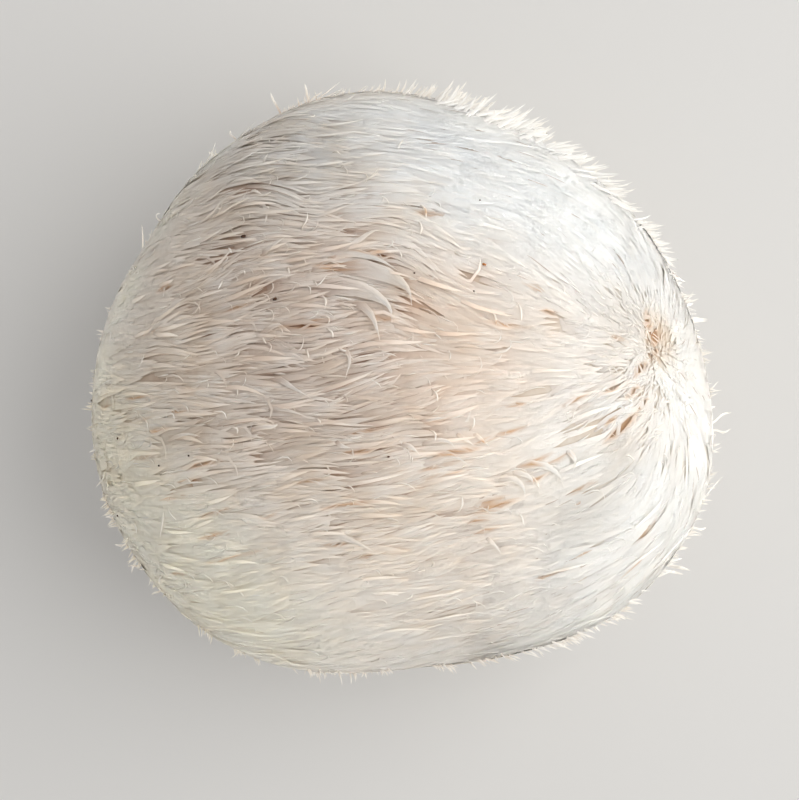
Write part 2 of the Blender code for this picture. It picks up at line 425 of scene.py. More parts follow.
def places_of(kind, rng):
    """Where the locks of a kind are rooted, on the unit ball."""
    ball = even_places(kind["count"], rng, PLACE_JITTER)
    point, outward = surface(ball)
    if kind is LOCK:
        chance = outward @ hanging() < math.cos(math.radians(BARE_WHORL))
    elif kind is HAIR:
        chance = (1 - in_zone(point, *HAIR_BARE)) * (1 - HAIR_CALM * calm(point))
    elif kind is TUFT:
        chance = (whorl(outward) - TUFT_FROM) / (TUFT_TO - TUFT_FROM)
    else:
        reach, level = rim_reach(point), outward[:, 2]
        chance = (RIM_LEAST + RIM_MORE * reach) * smooth(level, -RIM_UNDER, RIM_UNDER)
        chance = chance * (1 - smooth(level - RIM_BAND_MORE * reach, 0, RIM_BAND))
    return ball[(point[:, 2] > BARE_BELOW) & (rng.random(len(ball)) < chance)]


def bending(kind, rng, lock, s, near_whorl, flat, keep):
    """How far spines turn aside and outward at shares s of their length, and which leave their lock."""
    count, n = len(near_whorl), len(lock)
    hooked = rng.random(n) < kind["hooked"] * keep["hooked"]
    bends_from = kind["bends_from"] + rng.uniform(*HAIR_BENDS_FROM, (n, 1)) * (kind is HAIR)
    if kind is LOCK:
        hooked &= rng.random(n) > flat[lock]
        bends_from = np.where(hooked[:, None], LOCK_HOOKS_FROM, bends_from)
    late = np.clip((s - bends_from) / (1 - bends_from), 0, 1)
    stray = rng.normal(0, STRAY, n)
    bend = rng.normal(BEND, BEND_LOCK, count)[lock] + rng.normal(0, BEND_SPINE, n)
    hook = -rng.uniform(*HOOK, n) * np.where(rng.random(n) < HOOK_OTHER_WAY, -1, 1)
    aside_turn = np.where(hooked, hook, bend * keep["unruly"])
    loose = rng.random(n) < kind["loose"] * keep["unruly"] * keep["loose"]
    out_turn = np.where(loose, rng.uniform(*LOOSE, n), np.abs(rng.normal(0, STRAY, n)))
    rise, rise_whorl = kind["rise"]
    rise = rise + (rise_whorl - rise) * near_whorl * (1 - flat * (kind is LOCK))
    out_turn = out_turn + (rise * rng.uniform(*RISE, count))[lock]
    aside = np.radians(stray[:, None] * s + aside_turn[:, None] * late**1.3)
    outward = np.radians(out_turn[:, None] * late ** kind["bow"])
    return aside, outward, hooked | loose


def spine_lines(kind, rng, partings):
    """Centre lines, half widths and tones of all spines of a kind."""
    ball = places_of(kind, rng)
    count = len(ball)
    root, at_place = surface(ball)
    near_whorl, away, flat = whorl(at_place), behind(at_place), calm(root)
    path = lock_paths(ball, rng.normal(0, 1, count) * (WAY_JITTER + WAY_JITTER_WHORL * near_whorl))
    lock = np.repeat(np.arange(count), kind["spines"])
    n = len(lock)
    keep = {
        key: ((1 - at_whorl * near_whorl) * (1 - from_behind * away) * (1 - when_calm * flat))[lock]
        for key, (at_whorl, from_behind, when_calm) in LESS.items()
    }
    if kind["unruly"] is not None:
        keep["unruly"] = np.full(n, kind["unruly"])
    matted = flat[lock] * (kind is LOCK)
    side = (np.tile(np.arange(kind["spines"]), count) + 0.5) / kind["spines"] * 2 - 1
    side = side + rng.normal(0, SIDE_JITTER, n)
    # where a spine starts and ends along its lock
    lock_length = rng.uniform(*LOCK_LENGTH, count)[lock] * keep["length"]
    if kind is FRINGE:
        least = RIM_LEAST_LENGTH + (1 - RIM_LEAST_LENGTH) * rim_reach(root)
        lock_length = (rng.uniform(*RIM_LENGTH, count) * least)[lock]
    length = kind["length"] * lock_length * rng.uniform(1 - kind["uneven"], 1 + kind["uneven"], n)
    tip = rng.uniform(*TIP_PLACE, count)[lock] - TIP_BACK_SIDE * np.abs(side) ** 1.5
    tip = tip - rng.exponential(TIP_BACK, n)
    s = np.array(kind["rings"])[None, :]
    yaw, pitch, off_lock = bending(kind, rng, lock, s, near_whorl, flat, keep)
    run = length[:, None] * np.diff(s, prepend=0)
    along = (tip - length)[:, None] + np.cumsum(run * np.cos(yaw) * np.cos(pitch), 1)
    at = path_at(path, lock, along)
    # how far it is off its lock's line: aside, and over the body
    width = kind["half_width"] * rng.uniform(*LOCK_WIDTH, count)[lock] * side
    gather = 1 - rng.uniform(*GATHER, count)[lock][:, None] * s**2.5
    if kind is FRINGE:
        gather = 1 - rng.uniform(*RIM_GATHER, count)[lock][:, None] * s
    aside = width[:, None] * gather + np.cumsum(run * np.sin(yaw), 1)
    fluted = rng.uniform(*kind["fluted"], count)[lock] * (1 - CALM_FLATTER * matted)
    lift = rng.normal(0, LIFT_LOCK, count)[lock] * keep["unruly"] + rng.normal(0, LIFT_SPINE, n)
    lift = lift - SIDES_LOWER * np.abs(side) ** 3 * keep["sides_lower"]
    depth = kind["root_depth"] * keep["root_depth"]
    height = lift[:, None] - depth[:, None] * (1 - s) ** 2.6 + np.cumsum(run * np.sin(pitch), 1)
    height = height - ROOT_SINK * np.clip(1 - s / ROOT_END, 0, 1)
    tip_lift = rng.uniform(0, TIP_LIFT, count)[lock] * keep["unruly"]
    height = height + tip_lift[:, None] * smooth(s, 0.55, 1.0)
    beside = partings.open(at["point"] + at["across"] * aside[..., None], at["across"])
    point, outward = surface(place_of(beside))
    line = point + outward * height[..., None]
    line[..., 2] = np.maximum(line[..., 2], LOWEST)
    # its width and markings
    thick = kind["radius"] * rng.uniform(*THICKNESS, n)
    if kind is LOCK:
        thick = thick * (1 - WHORL_THINNER * near_whorl[lock]) * (1 + CALM_WIDER * matted * (1 - off_lock))
    if kind is FRINGE:
        thick = thick * (RIM_LEAST_WIDTH + (1 - RIM_LEAST_WIDTH) * rim_reach(root))[lock]
    lined = np.where(rng.random(n) < LINED_SHARE, rng.uniform(*LINED, n), rng.uniform(*UNLINED, n))
    off_tone = rng.normal(0, TONE_SPINE, n) + rng.normal(0, TONE_LOCK, count)[lock]
    return {
        "line": line,
        "outward": back_up(outward) if kind is FRINGE else outward,
        "radius": thick[:, None] * np.array(kind["taper"]),
        "pale": kind["pale"] * rng.uniform(*PALE, n) * (1 - CALM_DULLER * matted),
        "fluted": fluted,
        "lined": lined * keep["lined"],
        "dashed": (rng.random(n) < DASHED) * matted * rng.uniform(*DASH, n),
        "set": (lock * 7 + rng.integers(0, 2)) % len(PIECES),
        "tone": np.clip(0.5 + off_tone * keep["tone"], 0, 1),
        "rings": np.array(kind["rings"]),
    }


def back_up(outward):
    """The way that the backs of the rim's spikes face: mostly up."""
    return unit(0.5 * outward + np.array((0.0, 0.0, 1.0)))


# Locks and single spines that stand out, and where the photo shows them:
# (half its width in pixels, how far it lifts off in millimetres, its number of spines, u and v of each point
# of its line in pixels)
SINGLE_LOCKS = (
    (8.0, 2.2, 14, (286, 276, 324, 268, 362, 268, 392, 279, 408, 292, 411, 309)),
    (8.0, 1.9, 14, (272, 300, 306, 292, 340, 286, 370, 294, 389, 308, 392, 328)),
    (4.6, 1.0, 9, (285, 262, 312, 254, 346, 252, 378, 260, 404, 276)),
    (3.6, 2.0, 7, (332, 302, 358, 304, 373, 319, 382, 349)),
    (1.5, 1.9, 3, (326, 336, 345, 349, 350, 361, 345, 380)),
    (2.4, 1.3, 5, (250, 384, 276, 378, 293, 387, 316, 400)),
    (2.2, 1.3, 4, (240, 346, 262, 333, 279, 325, 294, 334)),
    (2.8, 1.6, 5, (250, 262, 268, 250, 290, 237)), (2.2, 1.2, 5, (300, 268, 318, 270, 340, 271)),
    (3.0, 1.3, 6, (396, 478, 421, 466, 450, 455, 474, 468)),
    (3.2, 1.3, 6, (300, 543, 322, 534, 342, 535, 362, 543, 381, 553)),
    (2.8, 1.4, 5, (478, 498, 496, 481, 512, 478, 522, 487, 523, 503)),
    (3.4, 1.4, 6, (490, 476, 514, 467, 538, 463, 556, 473, 563, 492)),
    (2.0, 1.3, 3, (500, 472, 516, 472, 528, 476, 534, 487)),
    (2.2, 1.3, 4, (560, 455, 566, 450, 573, 459, 570, 472)),
    (2.0, 1.2, 4, (400, 460, 425, 442, 446, 440, 457, 450)),
    (2.2, 1.2, 4, (386, 448, 402, 444, 412, 447, 420, 455)),
    (1.3, 1.3, 2, (468, 440, 474, 434, 482, 440, 492, 449)),
    (1.3, 1.3, 2, (452, 430, 462, 437, 476, 447)), (1.8, 1.2, 3, (330, 436, 340, 444, 352, 447)),
    (1.8, 2.0, 2, (240, 432, 250, 429, 264, 426, 276, 425, 282, 421)),
    (2.4, 1.4, 4, (292, 278, 322, 262, 355, 244, 372, 233, 384, 232)),
    (1.6, 1.3, 3, (156, 449, 172, 438, 189, 433, 204, 436)),
    (1.8, 1.3, 3, (408, 427, 422, 421, 436, 418, 447, 417)),
    (0.9, 1.2, 1, (465, 434, 470, 429, 473, 423, 473, 416)),
    (0.9, 0.9, 1, (424, 430, 431, 430, 435, 434, 434, 441)),
    (0.8, 0.9, 1, (515, 511, 520, 515, 523, 524)),
    (0.9, 1.2, 1, (442, 514, 455, 512, 461, 504, 461, 494)),
    (1.0, 1.0, 1, (222, 430, 231, 427, 238, 428, 238, 433)),
    (0.9, 0.9, 1, (160, 416, 167, 413, 174, 413, 176, 419)),
    (1.1, 1.2, 2, (198, 537, 208, 533, 220, 534)), (1.0, 1.0, 1, (528, 474, 534, 479, 538, 487)),
    (1.6, 1.2, 3, (250, 417, 268, 408, 290, 410, 310, 417)),
    (1.6, 1.2, 3, (480, 533, 490, 540, 500, 551)),
    (0.9, 0.9, 1, (310, 299, 320, 296, 326, 300, 325, 310)),
    (0.9, 0.9, 1, (310, 319, 322, 316, 329, 318, 329, 324)),
    (0.9, 0.7, 1, (318, 324, 326, 328, 332, 332, 333, 338)),
    (0.8, 1.0, 1, (296, 238, 301, 228, 307, 222, 308, 213)),
    (0.9, 0.8, 1, (260, 334, 263, 338, 267, 344)),
    (0.9, 1.0, 1, (424, 384, 431, 388, 436, 394, 437, 401)),
    (0.9, 0.8, 1, (428, 400, 433, 393, 441, 388)),
    (1.0, 1.0, 1, (415, 203, 420, 205, 425, 211, 425, 220)),
    (0.9, 0.9, 1, (415, 217, 419, 222, 421, 229, 419, 236)),
    (0.9, 0.9, 1, (484, 303, 489, 308, 494, 316, 495, 326)),
    (0.9, 0.9, 1, (512, 298, 517, 303, 520, 311, 520, 321)),
    (0.9, 0.7, 1, (162, 498, 164, 508, 164, 522, 162, 536)),
    (0.9, 0.7, 1, (164, 500, 168, 508, 173, 514, 178, 519)),
    (0.9, 0.8, 1, (225, 246, 230, 249, 233, 254)), (0.9, 0.8, 1, (221, 275, 222, 283, 219, 290)),
    (0.9, 0.8, 1, (283, 271, 288, 268, 290, 274)),
    (0.8, 0.8, 1, (306, 275, 314, 280, 318, 286, 327, 276)),
    (0.9, 0.8, 1, (333, 345, 340, 349, 350, 352)), (0.9, 0.8, 1, (302, 346, 307, 351, 309, 358)),
    (0.8, 1.2, 1, (205, 418, 211, 412, 224, 411, 228, 418)),
    (0.9, 0.8, 1, (310, 417, 318, 419, 323, 425)), (0.8, 1.0, 1, (396, 151, 399, 146, 403, 141)),
    (0.8, 0.9, 1, (328, 154, 335, 152, 341, 156)),
    (1.2, 1.2, 2, (214, 189, 232, 182, 250, 181, 264, 185)),
    (1.2, 1.2, 2, (244, 195, 254, 192, 266, 198)), (0.9, 0.8, 1, (214, 205, 217, 208, 222, 210)),
    (1.2, 1.3, 2, (258, 168, 266, 162, 271, 156)), (0.9, 0.9, 1, (237, 589, 241, 590, 245, 594)),
    (1.0, 0.6, 1, (234, 640, 236, 648, 241, 653, 246, 650)),
)
# Those along the rim that stand clear of the body: (half its width, u and v from its root to its tip)
RIM_SPIKES = (
    (1.5, (440, 104, 452, 97, 459, 84)), (1.2, (452, 106, 460, 98, 467, 91)),
    (1.3, (474, 110, 480, 104, 485, 96)), (1.1, (484, 113, 489, 105, 493, 101)),
    (1.3, (500, 122, 509, 116, 516, 111)), (1.1, (519, 130, 526, 126, 531, 123)),
    (1.2, (538, 142, 544, 137, 547, 131)), (1.0, (545, 147, 551, 143, 556, 141)),
    (1.0, (566, 156, 571, 152, 574, 150)), (1.0, (588, 174, 594, 171, 599, 170)),
    (1.3, (679, 308, 686, 305, 693, 303)), (1.3, (686, 321, 692, 318, 699, 317)),
    (1.1, (690, 338, 695, 336, 700, 336)), (1.2, (704, 408, 709, 408, 715, 406)),
    (1.0, (700, 430, 711, 424, 722, 414, 731, 412)), (1.0, (701, 432, 713, 429, 723, 432, 731, 428)),
    (1.2, (104, 446, 98, 448, 88, 452)), (0.9, (103, 470, 103, 477, 95, 487)),
    (1.1, (100, 437, 95, 431, 92, 428)), (1.0, (112, 520, 108, 516, 105, 517)),
    (1.0, (123, 546, 118, 545, 114, 544)), (1.1, (137, 568, 131, 565, 128, 566)),
    (0.9, (160, 592, 155, 592, 151, 594)), (1.0, (280, 112, 276, 105, 272, 98, 270, 92)),
    (1.1, (309, 106, 307, 98, 306, 90, 304, 83)), (1.1, (305, 105, 312, 98, 322, 91)),
    (1.0, (342, 103, 350, 97, 360, 91)), (1.0, (402, 102, 407, 96, 410, 87)),
    (1.1, (410, 104, 416, 98, 424, 94)), (0.8, (163, 221, 157, 219, 156, 214, 160, 213)),
    (1.0, (216, 158, 211, 154, 208, 151)), (1.0, (236, 138, 230, 134, 230, 130)),
    (1.1, (141, 551, 138, 558, 133, 565, 131, 573)), (0.9, (136, 550, 132, 548, 128, 549)),
    (1.0, (164, 573, 160, 577, 158, 583)), (1.0, (172, 588, 167, 593, 168, 598, 176, 602)),
    (1.6, (652, 560, 668, 565, 679, 567, 690, 570)), (1.3, (655, 563, 668, 561, 682, 558)),
    (1.2, (658, 570, 670, 571, 683, 574)), (1.3, (604, 608, 618, 604, 634, 601)),
    (1.3, (602, 602, 614, 599, 629, 597)), (1.2, (594, 612, 606, 614, 619, 620)),
    (1.2, (576, 618, 588, 621, 600, 631)), (1.1, (572, 622, 586, 624, 598, 627)),
    (1.1, (560, 630, 570, 628, 583, 632)), (1.0, (692, 527, 700, 529, 706, 527)),
)
SPIKE_SIZE = 1.1  # the spikes' real width, in those of the table
SPIKE_DROP = 0.007  # how far below the seen level one can be
SPIKE_SLANT = 0.006  # how far its tip can be over or under its root

# How the tables' spikes, single spines and bundles of several are made
SPIKE_FLUTED, SINGLE_FLUTED, BUNDLE_FLUTED = 1.5, 2.8, 0.9
SINGLE_PALE, BUNDLE_PALE = 1.0, 0.8
# SINGLE_LINED is how dark their painted shadow lines can be
SINGLE_TONE, SINGLE_TONE_SPREAD, SINGLE_LINED = 0.75, 0.1, (0.0, 0.5)
SINGLE_SINK = 0.0014  # the depth of its root
SINGLE_ROOT = 0.10  # the width of its root, as a share
BUNDLE_ENDS = 0.10  # how much shorter its outermost spines are, and any can be
BUNDLE_ROOT, BUNDLE_TIP = 0.35, 0.07  # how wide it is at its root and its tip, as shares
BUNDLE_ROUND = 0.25  # how much lower its sides lie, in its half widths
BUNDLE_FULL = 1.7  # how much its spines overlap


def seen_point(u, v, drop):
    """The point that the photo shows at a pixel, and the way outward; beyond the rim, level with it.

    drop lowers the point along the camera's line of sight.
    """
    point, outward = surface(seen_at(u, v))
    level = point[2] - drop
    return np.array((*at_height(u, v, level), level)), outward


def along_curve(knots, shares):
    """Points at shares of the way along a smooth curve through all knots."""
    ends = np.concatenate([2 * knots[:1] - knots[1:2], knots, 2 * knots[-1:] - knots[-2:-1]])
    at = np.clip(shares * (len(knots) - 1), 0, len(knots) - 1.0001)
    low = at.astype(int)
    f = (at - low)[..., None]
    a, b, c, d = (ends[low + k] for k in range(4))
    return 0.5 * (2 * b + (c - a) * f + (2 * a - 5 * b + 4 * c - d) * f**2 + (3 * b - a - 3 * c + d) * f**3)


def single_lock(half_width, lift, spines, pixels, rng):
    """The lines and half widths of one lock's spines, which draw together at its tip."""
    pixels = np.reshape(pixels, (-1, 2))
    drop = np.zeros(len(pixels))
    if lift == 0:
        slant = rng.uniform(-SPIKE_SLANT, SPIKE_SLANT)
        drop = rng.uniform(0, SPIKE_DROP) + slant * np.linspace(0, 1, len(pixels))
    seen = [seen_point(u, v, lower) for (u, v), lower in zip(pixels, drop)]
    knots, outwards = (np.array(values) for values in zip(*seen))
    side = (np.arange(spines) + 0.5) / spines * 2 - 1
    ends = 1 - BUNDLE_ENDS * np.abs(side) - rng.uniform(0, BUNDLE_ENDS, spines) * (spines > 1)
    s = np.array(LONG_RINGS)[None, :] * ends[:, None]
    point, outward = along_curve(knots, s), unit(along_curve(outwards, s))
    way = unit(along_curve(knots, np.minimum(s + 0.02, 1)) - along_curve(knots, s - 0.02))
    across = unit(np.cross(outward, way))
    wide = half_width * PIXEL_AT_OUTLINE
    opened = BUNDLE_ROOT + (1 - BUNDLE_ROOT) * smooth(s, 0, 0.35)
    drawn = 1 - (1 - BUNDLE_TIP) * smooth(s, 0.40, 0.92)
    spread = side[:, None] * wide * opened * drawn
    height = lift / 1000 * smooth(s, 0.10, 0.70) - SINGLE_SINK * (1 - smooth(s, 0, 0.34))
    height = height - BUNDLE_ROUND * wide * np.abs(side[:, None]) ** 2 * (spines > 1)
    beside = point + across * spread[..., None]
    if lift > 0:
        beside, outward = surface(place_of(beside))
    line = beside + outward * height[..., None]
    radius = wide if spines == 1 else BUNDLE_FULL * wide / spines
    taper = np.array(LONG_TAPER)
    if lift == 0:
        outward = back_up(outward)
    else:
        taper = taper * (SINGLE_ROOT + (1 - SINGLE_ROOT) * smooth(np.array(LONG_RINGS), 0, 0.5))
    return line, outward, radius * taper * np.ones((spines, 1))


def fluting(lift, spines):
    """How far the backs of a row's spines stand up, in heights of SECTION."""
    if lift == 0:
        return SPIKE_FLUTED
    return SINGLE_FLUTED if spines == 1 else BUNDLE_FLUTED


def single_locks(rng):
    """All locks and spines of the tables, in the same form as spine_lines() gives."""
    rows = [*SINGLE_LOCKS, *((width * SPIKE_SIZE, 0.0, 1, pixels) for width, pixels in RIM_SPIKES)]
    lines, outwards, radii, tones = [], [], [], []
    for width, lift, spines, pixels in rows:
        line, outward, radius = single_lock(width, lift, spines, pixels, rng)
        lines.append(line)
        outwards.append(outward)
        radii.append(radius)
        tones.append(np.clip(SINGLE_TONE + rng.normal(0, SINGLE_TONE_SPREAD, spines), 0, 1))
    counts = [spines for _, _, spines, _ in rows]
    n = sum(counts)
    return {
        "line": np.concatenate(lines),
        "outward": np.concatenate(outwards),
        "radius": np.concatenate(radii),
        "fluted": np.repeat([fluting(lift, spines) for _, lift, spines, _ in rows], counts),
        "pale": np.repeat([SINGLE_PALE if spines == 1 else BUNDLE_PALE for spines in counts], counts),
        "lined": rng.uniform(*SINGLE_LINED, n),
        "dashed": np.zeros(n),
        "set": np.arange(n) % len(PIECES),
        "tone": np.concatenate(tones),
        "rings": np.array(LONG_RINGS),
    }


def tubes(spines, chosen):
    """Vertices, faces and per-vertex values of the chosen spines."""
    line, outward, radius, fluted = (spines[key][chosen] for key in ("line", "outward", "radius", "fluted"))
    n, rings = line.shape[:2]
    way = np.empty_like(line)
    way[:, 1:-1] = line[:, 2:] - line[:, :-2]
    way[:, 0] = line[:, 1] - line[:, 0]
    way[:, -1] = line[:, -1] - line[:, -2]
    way = unit(way)
    across = unit(np.cross(way, outward))
    up = np.cross(across, way)
    corner = np.array(SECTION)
    wide = across[:, :-1, None] * corner[:, :1] * radius[:, :-1, None, None]
    high = up[:, :-1, None] * corner[:, 1:] * (radius[:, :-1] * fluted[:, None])[..., None, None]
    ring = line[:, :-1, None] + wide + high
    per = (rings - 1) * SIDES + 1
    verts = np.concatenate([ring.reshape(n, -1, 3), line[:, -1:]], 1).reshape(-1, 3)
    base = (np.arange(n) * per)[:, None, None]
    r = np.arange(rings - 2)[None, :, None] * SIDES
    k = np.arange(SIDES)[None, None, :]
    k2 = (k + 1) % SIDES
    quads = np.stack([base + r + k, base + r + SIDES + k, base + r + SIDES + k2, base + r + k2], -1)
    last = base[:, 0] + (rings - 2) * SIDES
    k, k2 = k[:, 0], k2[:, 0]
    tris = np.stack([last + k, base[:, 0] + per - 1 + 0 * k, last + k2], -1)
    along = np.concatenate([np.repeat(spines["rings"][:-1], SIDES), [1.0]])
    edge = np.concatenate([np.tile(SECTION_LINE, rings - 1), [TIP_LINE]])
    return {
        "verts": verts,
        "quads": quads.reshape(-1, 4),
        "tris": tris.reshape(-1, 3),
        "along": np.tile(along, n),
        "edge": np.tile(edge, n),
        **{key: np.repeat(spines[key][chosen], per) for key in ("tone", "pale", "lined", "dashed")},
        "corner": np.tile(np.append(np.tile(np.arange(SIDES), rings - 1), SIDES), n),
        "spine": np.repeat(np.arange(n), per),
    }


def joined(parts):
    """Several sets of tubes as one."""
    whole = {key: [] for key in parts[0]}
    shift = {"quads": 0, "tris": 0, "spine": 0}
    for part in parts:
        for key, values in part.items():
            whole[key].append(values + shift.get(key, 0))
        shift["quads"] = shift["tris"] = shift["quads"] + len(part["verts"])
        shift["spine"] += int(part["spine"][-1]) + 1
    return {key: np.concatenate(values) for key, values in whole.items()}


def mesh_of(name, verts, quads, tris):
    mesh = bpy.data.meshes.new(name)
    mesh.vertices.add(len(verts))
    mesh.vertices.foreach_set("co", verts.astype(np.float32).ravel())
    loops = np.concatenate([quads.ravel(), tris.ravel()]).astype(np.int32)
    mesh.loops.add(len(loops))
    mesh.loops.foreach_set("vertex_index", loops)
    starts = np.concatenate([np.arange(len(quads)) * 4, len(quads) * 4 + np.arange(len(tris)) * 3])
    mesh.polygons.add(len(starts))
    mesh.polygons.foreach_set("loop_start", starts.astype(np.int32))
    mesh.polygons.foreach_set("use_smooth", np.ones(len(starts), bool))
    mesh.update(calc_edges=True)
    return mesh


def keep_side_edges(mesh, corner):
    """Marks the edges along a spine's two sides as sharp, so that its back is softly rounded."""
    ends = np.empty(len(mesh.edges) * 2, np.int32)
    mesh.edges.foreach_get("vertices", ends)
    one, other = corner[ends.reshape(-1, 2)].T
    sharp = ((one == other) | (one == SIDES) | (other == SIDES)) & (np.minimum(one, other) > 0)
    held = mesh.attributes.new("sharp_edge", "BOOLEAN", "EDGE")
    held.data.foreach_set("value", sharp)


def smooth_mesh(name, shape):
    """The mesh of a bmesh, which is freed."""
    mesh = bpy.data.meshes.new(name)
    shape.to_mesh(mesh)
    shape.free()
    mesh.shade_smooth()
    return mesh


def put(mesh, name, values):
    """Stores one number or colour per vertex."""
    held = mesh.attributes.new(name, "FLOAT" if values.ndim == 1 else "FLOAT_COLOR", "POINT")
    if values.ndim == 1:
        held.data.foreach_set("value", values.astype(np.float32))
    else:
        four = np.concatenate([values, np.ones((len(values), 1))], 1)
        held.data.foreach_set("color", four.astype(np.float32).ravel())


def link(data, name):
    obj = bpy.data.objects.new(name, data)
    bpy.context.scene.collection.objects.link(obj)
    return obj


CELL_MARGIN = 0.08  # round each spine's cell, as a share of it


def spine_uv(mesh, tube):
    """Gives each spine its own small cell of the picture, from its foot to its tip."""
    cells = math.ceil(math.sqrt(int(tube["spine"][-1]) + 1))
    vertex = np.empty(len(mesh.loops), np.int32)
    mesh.loops.foreach_get("vertex_index", vertex)
    total = np.empty(len(mesh.polygons), np.int32)
    start = np.empty(len(mesh.polygons), np.int32)
    mesh.polygons.foreach_get("loop_total", total)
    mesh.polygons.foreach_get("loop_start", start)
    corner = tube["corner"][vertex]
    first = corner[start][np.repeat(np.arange(len(total)), total)]
    turn = np.where((first == SIDES - 1) & (corner == 0), SIDES, corner)
    turn = np.where(corner == SIDES, first + 0.5, turn)
    u = CELL_MARGIN + turn / SIDES * (1 - 2 * CELL_MARGIN)
    v = CELL_MARGIN + tube["along"][vertex] * (1 - 2 * CELL_MARGIN)
    spine = tube["spine"][vertex]
    uv = np.stack([(spine % cells + u) / cells, (spine // cells + v) / cells], -1)
    layer = mesh.uv_layers.new(name="OFBake")
    layer.data.foreach_set("uv", uv.astype(np.float32).ravel())


# Colours


def linear(*srgb):
    """A colour given in 0 to 255 as the shares of light that Blender takes."""
    c = np.array(srgb) / 255
    return np.where(c <= 0.04045, c / 12.92, ((c + 0.055) / 1.055) ** 2.4)


COMMON_TINT = linear(244, 240, 233)
# Soft patches, partly the body's own colour and partly painted light: painted highlights along the
# right-hand rims and over the shadows of lifted locks, and darker patches of painted shade on the calm
# right-hand side.
TINTS_AND_PAINTED_LIGHT = (  # (u, v, reach in pixels, colour) of soft patches on the side that the photo shows
    (220, 220, 80, (222, 211, 198)), (290, 150, 60, (213, 215, 215)), (290, 310, 80, (210, 195, 184)),
    (300, 400, 70, (212, 197, 184)), (180, 380, 70, (226, 214, 198)), (380, 370, 60, (223, 209, 197)),
    (450, 340, 60, (233, 210, 188)), (540, 330, 50, (236, 225, 213)), (610, 345, 50, (230, 226, 220)),
    (654, 336, 20, (236, 212, 180)), (110, 450, 60, (246, 240, 218)), (200, 590, 90, (248, 245, 228)),
    (300, 500, 60, (228, 218, 205)), (380, 540, 80, (247, 238, 226)), (460, 500, 60, (247, 237, 225)),
    (560, 200, 110, (243, 246, 247)), (480, 122, 30, (253, 253, 251)), (540, 150, 30, (253, 253, 251)),
    (595, 190, 30, (253, 253, 251)), (645, 240, 30, (253, 253, 251)), (685, 300, 30, (253, 253, 251)),
    (690, 520, 30, (252, 252, 248)), (650, 575, 30, (252, 252, 248)), (600, 612, 30, (252, 252, 248)),
    (545, 640, 30, (252, 252, 248)), (215, 155, 25, (240, 240, 232)), (165, 215, 25, (246, 244, 232)),
    (125, 290, 25, (250, 247, 232)), (98, 370, 25, (250, 247, 232)), (430, 140, 60, (238, 241, 243)),
    (660, 470, 100, (245, 246, 244)), (620, 322, 24, (206, 198, 188)), (622, 462, 22, (204, 196, 184)),
    (582, 512, 30, (208, 204, 196)), (350, 262, 22, (248, 238, 228)), (425, 300, 22, (246, 234, 222)),
    (460, 425, 25, (250, 238, 226)), (490, 548, 32, (250, 243, 234)), (380, 455, 24, (246, 234, 222)),
)
HOLLOW_SHADE = linear(232, 212, 188)  # painted warm shade on the flesh between the spines, where they lie less calm
HOLLOW_SHADE_LEFT = linear(228, 207, 196)  # the same towards -X
HOLLOW_FROM_LEFT = (-0.010, 0.040)  # x, from where the one gives way to the other to where it has
TINT_GRIP = 0.2  # how strongly the common tint holds between the patches


def tint_and_painted_light(points):
    """The body's colour at points: soft patches blended by nearness, partly its own colour and partly
    painted highlights and shade.
    """
    total = np.full((len(points), 1), TINT_GRIP)
    colour = total * COMMON_TINT
    for u, v, reach, value in TINTS_AND_PAINTED_LIGHT:
        middle = surface(seen_at(u, v))[0]
        off = ((points - middle) ** 2).sum(-1, keepdims=True)
        near = np.exp(-off / (reach * PIXEL_AT_OUTLINE) ** 2)
        total = total + near
        colour = colour + near * linear(*value)
    return colour / total


def nodes_of(name):
    material = bpy.data.materials.new(name)
    material.use_nodes = True
    tree = material.node_tree
    return material, tree, tree.nodes["Principled BSDF"]


def add(tree, kind, **values):
    node = tree.nodes.new(kind)
    for key, value in values.items():
        setattr(node, key, value)
    return node


def mix(tree, how, factor, one, other):
    """A colour mix node; each of factor, one and other is a socket or a constant."""
    node = add(tree, "ShaderNodeMix", data_type="RGBA", blend_type=how)
    for socket, value in ((node.inputs[0], factor), (node.inputs[6], one), (node.inputs[7], other)):
        if isinstance(value, bpy.types.NodeSocket):
            tree.links.new(value, socket)
        else:
            socket.default_value = value
    return node.outputs[2]


def ramp(tree, value, stops):
    node = add(tree, "ShaderNodeValToRGB")
    tree.links.new(value, node.inputs["Fac"])
    held = node.color_ramp.elements
    while len(held) < len(stops):
        held.new(0.5)
    for element, (place, colour) in zip(held, stops):
        element.position = place
        element.color = (*colour, 1)
    return node.outputs["Color"]


def noise(tree, place, scale, detail):
    node = add(tree, "ShaderNodeTexNoise")
    tree.links.new(place, node.inputs["Vector"])
    node.inputs["Scale"].default_value = scale
    node.inputs["Detail"].default_value = detail
    return node.outputs["Fac"]


def read(tree, name, socket):
    return add(tree, "ShaderNodeAttribute", attribute_name=name).outputs[socket]


def soften(shader, weight, reach):
    """Lets light sink in a little."""
    shader.subsurface_method = "BURLEY"
    shader.inputs["Subsurface Weight"].default_value = weight
    shader.inputs["Subsurface Radius"].default_value = (1.0, 0.95, 0.90)
    shader.inputs["Subsurface Scale"].default_value = reach


def roughen(tree, shader, height, strength, distance):
    bump = add(tree, "ShaderNodeBump")
    bump.inputs["Strength"].default_value = strength
    bump.inputs["Distance"].default_value = distance
    tree.links.new(height, bump.inputs["Height"])
    tree.links.new(bump.outputs["Normal"], shader.inputs["Normal"])


WHITE = (1.0, 1.0, 1.0)


